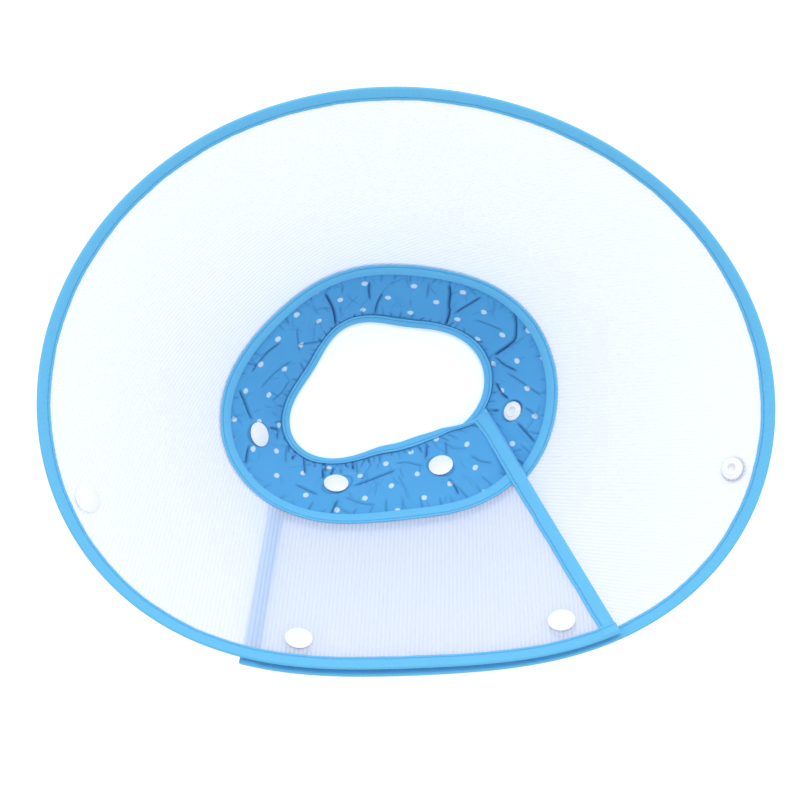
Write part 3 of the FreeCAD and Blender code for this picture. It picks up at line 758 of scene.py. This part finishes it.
# ---------------------------------------------------------------- creases in the pad's cover
# depth in mm, then the (turn, level) points of the line
CREASES = [
    (1.3, [(121.5, .79), (121.2, .50), (122, .35), (124.2, .15)]),
    (0.9, [(99.8, .76), (100.8, .63), (100.8, .44)]), (0.9, [(93.8, .55), (97, .36), (98.5, .15)]),
    (0.55, [(112.5, .81), (114.2, .67)]), (0.6, [(148.8, .46), (143.2, .30), (135.8, .11)]),
    (0.55, [(142, .65), (145.8, .53), (151.2, .37)]),
    (1.3, [(63, .82), (60.8, .69), (58.5, .50), (55.8, .38), (53.5, .12)]),
    (0.9, [(48.8, .80), (50.8, .61), (53.5, .39)]),
    (1.2, [(35.5, .89), (31.2, .79), (26.2, .65), (25, .45), (24.2, .24)]),
    (0.9, [(23, .24), (18.2, .32), (13.8, .49)]), (0.55, [(72, .81), (70.2, .56)]),
    (0.55, [(43.8, .42), (38, .48), (32.2, .57)]), (0.55, [(203.5, .16), (210.8, .38)]),
    (0.9, [(211, .02), (221, .39)]), (1.2, [(222.8, .09), (230, .41)]),
    (0.9, [(230.2, .16), (232.2, .35)]), (0.55, [(234.2, .19), (238, .39)]),
    (0.55, [(241.5, .11), (246.5, .35)]), (0.9, [(312, .14), (300.5, .36)]),
    (0.55, [(325.5, .20), (316.2, .38)]), (1.2, [(10.8, .16), (4.5, .28), (1.5, .40)]),
    (0.9, [(-4.5, .22), (-4.2, .33)]), (0.9, [(-9.5, .61), (-13.5, .78), (-16.2, .90)]),
    (0.55, [(-2.5, .64), (-6.8, .86)]), (0.55, [(13.8, .35), (5.2, .68), (2, .83)]),
    (1.2, [(176.5, .83), (182, .70), (188.2, .59)]), (1.2, [(195, .61), (199.5, .74), (204, .85)]),
    (0.9, [(191.8, .45), (193.8, .18), (199, .26)]),
    (0.9, [(232.5, .66), (226.5, .62), (221.8, .60)]),
    (0.9, [(242.8, .55), (256.2, .47), (275, .38)]),
    (0.9, [(242.2, .72), (242.2, .83), (242.5, .92)]),
    (0.55, [(245, .68), (253.5, .77), (261.5, .81)]),
    (0.55, [(326.2, .51), (326.2, .63), (328.5, .73)]),
    (0.9, [(307, .62), (306.8, .75), (305.5, .84)]),
    (0.55, [(298.2, .40), (287.8, .30), (276.8, .29)]),
    (0.55, [(174.5, .56), (165.8, .48), (157.8, .39)]),
    (0.9, [(168.8, .78), (158.8, .75), (152.5, .69)]),
    (0.55, [(180.2, .34), (174.8, .23), (167.5, .23)]),
]
# gathers: first and last turn, largest spacing, depths, level at the tape, spread, far levels
GATHERS = [(-158.0, 350, 8.0, (0.25, 0.55), .06, 2.0, (.18, .27)),       # along the neck tape
           (-140.0, 330, 9.0, (0.2, 0.5), .97, 1.6, (.74, .85))]         # along the seam


def neck_pleats():
    """Short pleats beside the neck edge of the inner flap."""
    return [(0.5 + 0.3 * (k % 3), [(197 + 5.1 * k, .05),
                                   (200.5 + 5.3 * k + 1.3 * (k % 2), .17 + .05 * (k % 3))])
            for k in range(11)]


def random_creases():
    rng = np.random.default_rng(5)
    lines = []
    for _ in range(210):
        turn, level = rng.uniform(-150, 350), rng.uniform(0.14, 0.82)
        slant, rise = rng.normal(0.0, 4.5), rng.uniform(0.08, 0.24)
        depth = rng.uniform(0.12, 0.36)
        middle = (turn + slant * 0.5 + rng.normal(0, 0.8), level + rise * 0.5)
        lines.append((depth, [(turn, level), middle, (turn + slant, min(level + rise, 0.9))]))
    for turn, last, spacing, depths, level, spread, far in GATHERS:
        while turn < last:
            turn += rng.uniform(4.0, spacing)
            lines.append((rng.uniform(*depths), [
                (turn, level), (turn + rng.normal(0, spread), rng.uniform(*far))]))
    return lines


def snap_folds():
    """Folds that run out from the hidden snaps."""
    degrees_per_mm, pad_length = math.degrees(1.0 / 58.0), 41.0
    lines = []
    for turn, level in HIDDEN_SOCKETS:
        for angle in np.arange(7) * 0.9 + 0.3:
            lines.append((0.7, [
                (turn + degrees_per_mm * away * math.cos(bearing),
                 min(max(level + away / pad_length * math.sin(bearing), .1), .9))
                for away, bearing in ((7.5, angle), (15.0, angle + 0.15))]))
    return lines


CREASES += neck_pleats() + random_creases() + snap_folds()


def crease_line(points):
    """The crease on the flat pattern, bent smoothly through its corners."""
    at = np.linspace(0, len(points) - 1, 4 * (len(points) - 1) + 1)
    turn, level = (np.interp(at, np.arange(len(points)), points[:, k]) for k in (0, 1))
    if len(points) > 2:
        for line in (turn, level):
            line[1:-1] = 0.25 * line[:-2] + 0.5 * line[1:-1] + 0.25 * line[2:]
    return flat(turn, level, PAD_PATTERN)


def crease_field(turn, level):
    """Depth of the creases in mm, and the painted shade along their bottoms."""
    drop, painted_shade_amount = np.zeros(turn.size), np.zeros(turn.size)
    flat_points = flat(turn, level, PAD_PATTERN).reshape(-1, 2)
    turns = turn.reshape(-1)
    for depth, points in CREASES:
        points = np.array(points, float)
        low, high = points[:, 0].min() - 9.0, points[:, 0].max() + 9.0
        chosen = np.nonzero((turns > low) & (turns < high))[0]
        if not len(chosen):
            continue
        line = crease_line(points)
        run = running(line)
        near = flat_points[chosen]
        best, along = np.full(len(chosen), 1e9), np.zeros(len(chosen))
        for i, piece in enumerate(np.diff(run)):
            heading = (line[i + 1] - line[i]) / max(piece, 1e-6)
            t = np.clip(((near - line[i]) * heading).sum(1), 0.0, piece)
            away = length(near - line[i] - t[:, None] * heading)
            closer = away < best
            best[closer], along[closer] = away[closer], run[i] + t[closer]
        taper = smooth((along + 1.2) / 3.5) * smooth((run[-1] - along + 1.2) / 3.5)
        wide = 0.50 + 0.16 * depth
        # a valley with a low ridge on both sides
        valley = depth * bell(best, wide) - 0.34 * depth * bell(best - 2.1 * wide, 1.25 * wide)
        drop[chosen] += taper * valley
        # painted shade along the crease's bottom
        painted_shade_amount[chosen] = np.maximum(painted_shade_amount[chosen], taper * min(depth, 1.1)
                                  * bell(best, 0.42 + 0.14 * depth))
    return drop.reshape(turn.shape), painted_shade_amount.reshape(turn.shape)


# ---------------------------------------------------------------- pad
PAD_SET = 1.72           # the pad's middle lies this far behind the surface at the seam
EDGE_HALF = 0.60         # half thickness at the edges
COVER = 0.45             # thickness of the cover and of the lining
PAD_OVER = 2.0           # how far the pad reaches above the seam
FAR = 1e3                # stands for any distance out of a snap's reach


def mm_from(turn, level, snap):
    """Distances round the cone and up the slope from a (turn, level) point."""
    pad, _ = lengths(turn)
    return ((turn - snap[0]) * math.pi / 180.0 * pad_radius(turn, level), (level - snap[1]) * pad)


def snap_distance(turn, level, snap):
    return np.where(np.abs(turn - snap[0]) < 60, np.hypot(*mm_from(turn, level, snap)), FAR)


def pad_profile(turn, level):
    """Offset of the pad's middle and half its thickness."""
    levels = [0.0, 0.125, 0.22, 0.36, 0.5, 0.64, 0.78, 0.895, 1.2]
    filling = [0.0, 0.0, 0.68, 0.92, 1.00, 0.92, 0.68, 0.0, 0.0]
    to_end = (np.minimum(np.abs(turn - end_turn(END_OUTER, level)),
                         np.abs(turn - end_turn(END_INNER, level)))
              * np.pi / 180.0 * pad_radius(turn, level))
    thick = np.interp(level, levels, filling) * (0.5 + 0.5 * smooth(to_end / 20.0))
    return PAD_SET * smooth(level), EDGE_HALF + thick


def front_relief(turn, level):
    """Height of the front cover above the plain pad, and the painted shade laid on it."""
    drop, painted_shade_amount = crease_field(turn, level)
    drop = np.clip(drop, -0.8, 1.45)
    turns, lower, upper, _ = PAD_PATTERN
    x = np.interp(turn, turns, running(0.5 * (lower + upper)))
    body = smooth(level / 0.10) * smooth((0.93 - level) / 0.12)
    lumps = body * (0.28 * np.sin(x / 17.0 + 1.3 * np.sin(x / 41.0))
                    + 0.20 * np.sin(x / 9.5 + 2.0 + 3.0 * level)
                    + 0.09 * np.sin(x / 3.7 + 9.0 * level)
                    + 0.07 * np.sin(x / 2.3 - 14.0 * level + 1.0))
    edge = smooth((level - 0.105) / 0.05) * smooth((0.955 - level) / 0.05)
    relief = (lumps - drop) * edge
    for snap in CAPS_IN:                                # a flat seat with a ring of painted shadow round the cap
        r = snap_distance(turn, level, snap)
        seat = fade(r, 6.6, 4.5)
        relief = relief * (1.0 - seat) + 0.62 * seat
        painted_shade_amount = painted_shade_amount * (1.0 - seat) + 0.55 * bell(r - 6.5, 0.45)
    for snap in SOCKETS_IN:                             # a sunken seat
        r = snap_distance(turn, level, snap)
        seat = fade(r, 5.3, 0.8)
        relief = relief * (1.0 - fade(r, 6.0, 4.0)) * (1.0 - seat) - 2.25 * seat
        painted_shade_amount = painted_shade_amount * (1.0 - seat)
    # painted shade along the lines where the cover dives under the tapes
    pad = lengths(turn)[0]
    painted_shade_amount = np.maximum(painted_shade_amount, 0.55 * bell(level * pad - 5.15, 0.38))
    painted_shade_amount = np.maximum(painted_shade_amount, 0.30 * bell((level - 1.0) * pad + 3.0, 0.45))
    return relief, painted_shade_amount


def back_relief(turn, level):
    """Height of the lining behind the plain pad."""
    x = mm_from(turn, level, (0.0, 0.0))[0]
    edge = smooth(level / 0.14) * smooth((0.93 - level) / 0.12)
    relief = (0.22 * np.sin(x / 7.0 + 2.0 * level) + 0.14 * np.sin(x / 3.1 + 5.0 * level)
              + 0.10 * np.sin(x / 2.1 - 11.0 * level) - 0.15) * edge
    for snap in CAPS_IN:
        r = snap_distance(turn, level, snap)
        relief = relief * (1.0 - fade(r, 6.0, 4.0)) - 1.3 * fade(r, 5.2, 0.9)
    # room for the outer flap's end tape, which lies against the lining
    room = fade(np.abs(turn - 360.0 - end_turn(END_OUTER, level) - 2.5), 5.0, 4.0)
    relief = relief * (1.0 - room) - 0.40 * room
    for snap in SOCKETS_IN:
        seat = fade(snap_distance(turn, level, snap), 6.6, 4.0)
        relief = relief * (1.0 - seat) + 0.6 * seat
    return relief


def pad_grid(stops, rows):
    level = level_at(1.0, PAD_OVER, stops)[:, None] * np.linspace(0.0, 1.0, rows)
    turn = station(stops[:, None], level)
    pattern = flat(turn, level, PAD_PATTERN)
    return turn, level, two_faced(pattern, pattern)


def build_pad():
    stops, cuts = stations(0.30)
    rows = 75
    turn, level, uv = pad_grid(stops, rows)
    relief, painted_shade_amount = front_relief(turn, level)
    middle, half = pad_profile(turn, level)
    off = middle - half - relief
    # the front cover carries the painted shade on its face and none on its back
    sweep("pad_front", cuts, two_faced(surf(turn, level, off), surf(turn, level, off + COVER)),
          uv, "dotted_cloth", ["pad_front", "pad_foam"], layer_caps(rows),
          two_faced(painted_shade_amount, 0.0 * painted_shade_amount))
    rows = 34
    turn, level, uv = pad_grid(stops, rows)
    middle, half = pad_profile(turn, level)
    off = middle + half + back_relief(turn, level)
    sweep("pad_lining", cuts, two_faced(surf(turn, level, off - COVER), surf(turn, level, off)),
          uv, "lining_cloth", ["pad_lining"], layer_caps(rows))


build_pad()


# ---------------------------------------------------------------- bound ends
def end_tape(name, ends, side, body, seed):
    """Tape folded over a cut end; side is +1 when the material lies at larger turns."""
    width = 6.6
    outline = folded(width, width - 0.2, gap=0.0, reach=0.7)
    pad, sheet = (float(x) for x in lengths(ends[1]))
    low, high = 2.2 / float(lengths(ends[0])[0]), 2.0 - 2.0 / sheet
    levels = np.concatenate([np.arange(low, 1.0, 0.5 / pad), np.arange(1.0, high, 0.6 / sheet)])
    # level, then the offsets of the tape's front and back where it wraps the layers
    at, front, back = np.array([
        (0.0, -0.78, 0.78), (0.22, -1.0, 1.65), (0.36, -0.84, 2.1), (0.5, -0.6, 2.45),
        (0.64, -0.7, 2.72), (0.8, -0.92, 2.8), (1 - 4.6 / pad, -1.12, 2.62), (1.0, -1.12, 2.6),
        (1 + 3.2 / sheet, -1.12, 2.6), (1 + 6.0 / sheet, -0.42, 0.42),
        (2 - 9.0 / sheet, -0.42, 0.42), (2 - 5.5 / sheet, -0.20, 0.20), (2.02, -0.20, 0.20)]).T
    front, back = np.interp(levels, at, front), np.interp(levels, at, back)
    turns = end_turn(ends, levels)
    edge_line = surf(turns, levels)
    tangent = np.gradient(edge_line, axis=0)
    tangent /= np.linalg.norm(tangent, axis=1, keepdims=True)
    per_degree = surf(turns + 0.5, levels) - surf(turns - 0.5, levels)
    across = per_degree - (per_degree * tangent).sum(1, keepdims=True) * tangent
    mm_per_degree = length(across)                      # square to the end
    xs = running(edge_line)

    def place(level, x, deep, off):
        near, far = np.interp(level, levels, front), np.interp(level, levels, back)
        edge = (waves(x, [(27.0, 0.10), (11.0, 0.05), (1.9, 0.02)], seed)
                * np.clip(deep / width, 0, 1))
        puff = (waves(x, [(21.0, 0.05), (8.0, 0.03), (3.3, 0.015)], seed + 3)
                * bell(deep - 3.0, 3.0))
        size = np.abs(off) + (np.clip(np.abs(off) / TAPE, 0, 1) * (deep > 0.1)
                              * (puff - groove_depth(x, deep, width)))
        placed = np.where(off < 0, near - size, far + size)
        # the bend itself is round, from the front's offset to the back's
        rounded = 0.5 * (near + far) + (0.5 * (far - near) + TAPE) * off / TAPE
        placed = np.where(deep < 0.05, rounded, placed)
        turn = (np.interp(level, levels, turns)
                + side * (deep + edge) / np.interp(level, levels, mm_per_degree))
        points = surf(turn, level, placed)
        points[..., 2] = np.maximum(points[..., 2], 0.0)
        return points

    pos = place(levels[:, None], xs[:, None], outline[:, 0], outline[:, 1])
    quads, first, last, normals = skin(pos, closing_quads(len(outline)))
    faces = clean(np.concatenate([quads.reshape(-1, 4), first, last]))
    made = make_mesh(name, pos.reshape(-1, 3), faces, "tape_cloth",
                     tape_uv(xs, outline).reshape(-1, 2), normals.reshape(-1, 3),
                     groove_shade(outline, width, 0.0, xs))
    attach(made, body, [name])
    sew(name + "_stitches", body, place, xs, levels, (width, width), gap=0.0,
        start=4.0, limit=xs[-1] - 4.0)


end_tape("outer_flap_end_tape", END_OUTER, 1.0, "outer_flap", seed=71)
end_tape("inner_flap_end_tape", END_INNER, -1.0, "inner_flap", seed=83)


# ---------------------------------------------------------------- floor, light, camera (metres)
def build_floor():
    bpy.ops.mesh.primitive_plane_add(size=60.0, location=(0, 0, 0))
    floor = bpy.context.object
    floor.name = "floor"
    shader = Shader("floor_white")
    floor.data.materials.append(shader.finish(shader.add("BsdfPrincipled", {
        "Base Color": (0.97, 0.97, 0.97, 1), "Roughness": 0.9,
        "Emission Color": (1.0, 1.0, 1.0, 1.0), "Emission Strength": 0.20})))


def build_world(colour, strength):
    world = bpy.data.worlds.new("studio")
    bpy.context.scene.world = world
    world.use_nodes = True
    background = world.node_tree.nodes["Background"]
    background.inputs["Color"].default_value = colour
    background.inputs["Strength"].default_value = strength


def area_light(name, location, aim, size, power):
    light = bpy.data.lights.new(name, "AREA")
    light.energy, light.size = power, size
    lamp = bpy.data.objects.new(name, light)
    bpy.context.scene.collection.objects.link(lamp)
    lamp.location = location
    lamp.rotation_mode = "QUATERNION"
    lamp.rotation_quaternion = (Vector(aim) - Vector(location)).to_track_quat("-Z", "Y")


def build_camera(tilt, swing, offset, lens):
    """Camera above the cone, looking down. tilt and swing turn the scene about the camera's x
    and y axes, in radians; offset is the camera's place in mm, along its own axes, from the
    point on the Z axis at seam height."""
    about_x = np.array([[1, 0, 0], [0, math.cos(tilt), -math.sin(tilt)],
                        [0, math.sin(tilt), math.cos(tilt)]])
    about_y = np.array([[math.cos(swing), 0, math.sin(swing)], [0, 1, 0],
                        [-math.sin(swing), 0, math.cos(swing)]])
    rotation = (about_x @ about_y).T
    matrix = np.eye(4)
    matrix[:3, :3] = rotation
    matrix[:3, 3] = (rotation @ np.array(offset) + np.array([0, 0, Z_SEAM])) * MM
    data = bpy.data.cameras.new("camera")
    data.sensor_width = 36.0
    data.lens = lens
    camera = bpy.data.objects.new("camera", data)
    bpy.context.scene.collection.objects.link(camera)
    camera.matrix_world = Matrix(matrix.tolist())
    bpy.context.scene.camera = camera


build_floor()
build_world(colour=(1.0, 1.0, 1.0, 1.0), strength=0.92)
area_light("key", location=(0.0, 0.9, 1.0), aim=(0, 0, 0.05), size=1.2, power=6.0)
build_camera(tilt=-0.0611, swing=0.0715, offset=(4.3238, -0.2042, 744.989), lens=67.275)
bpy.context.scene.view_settings.view_transform = "Standard"
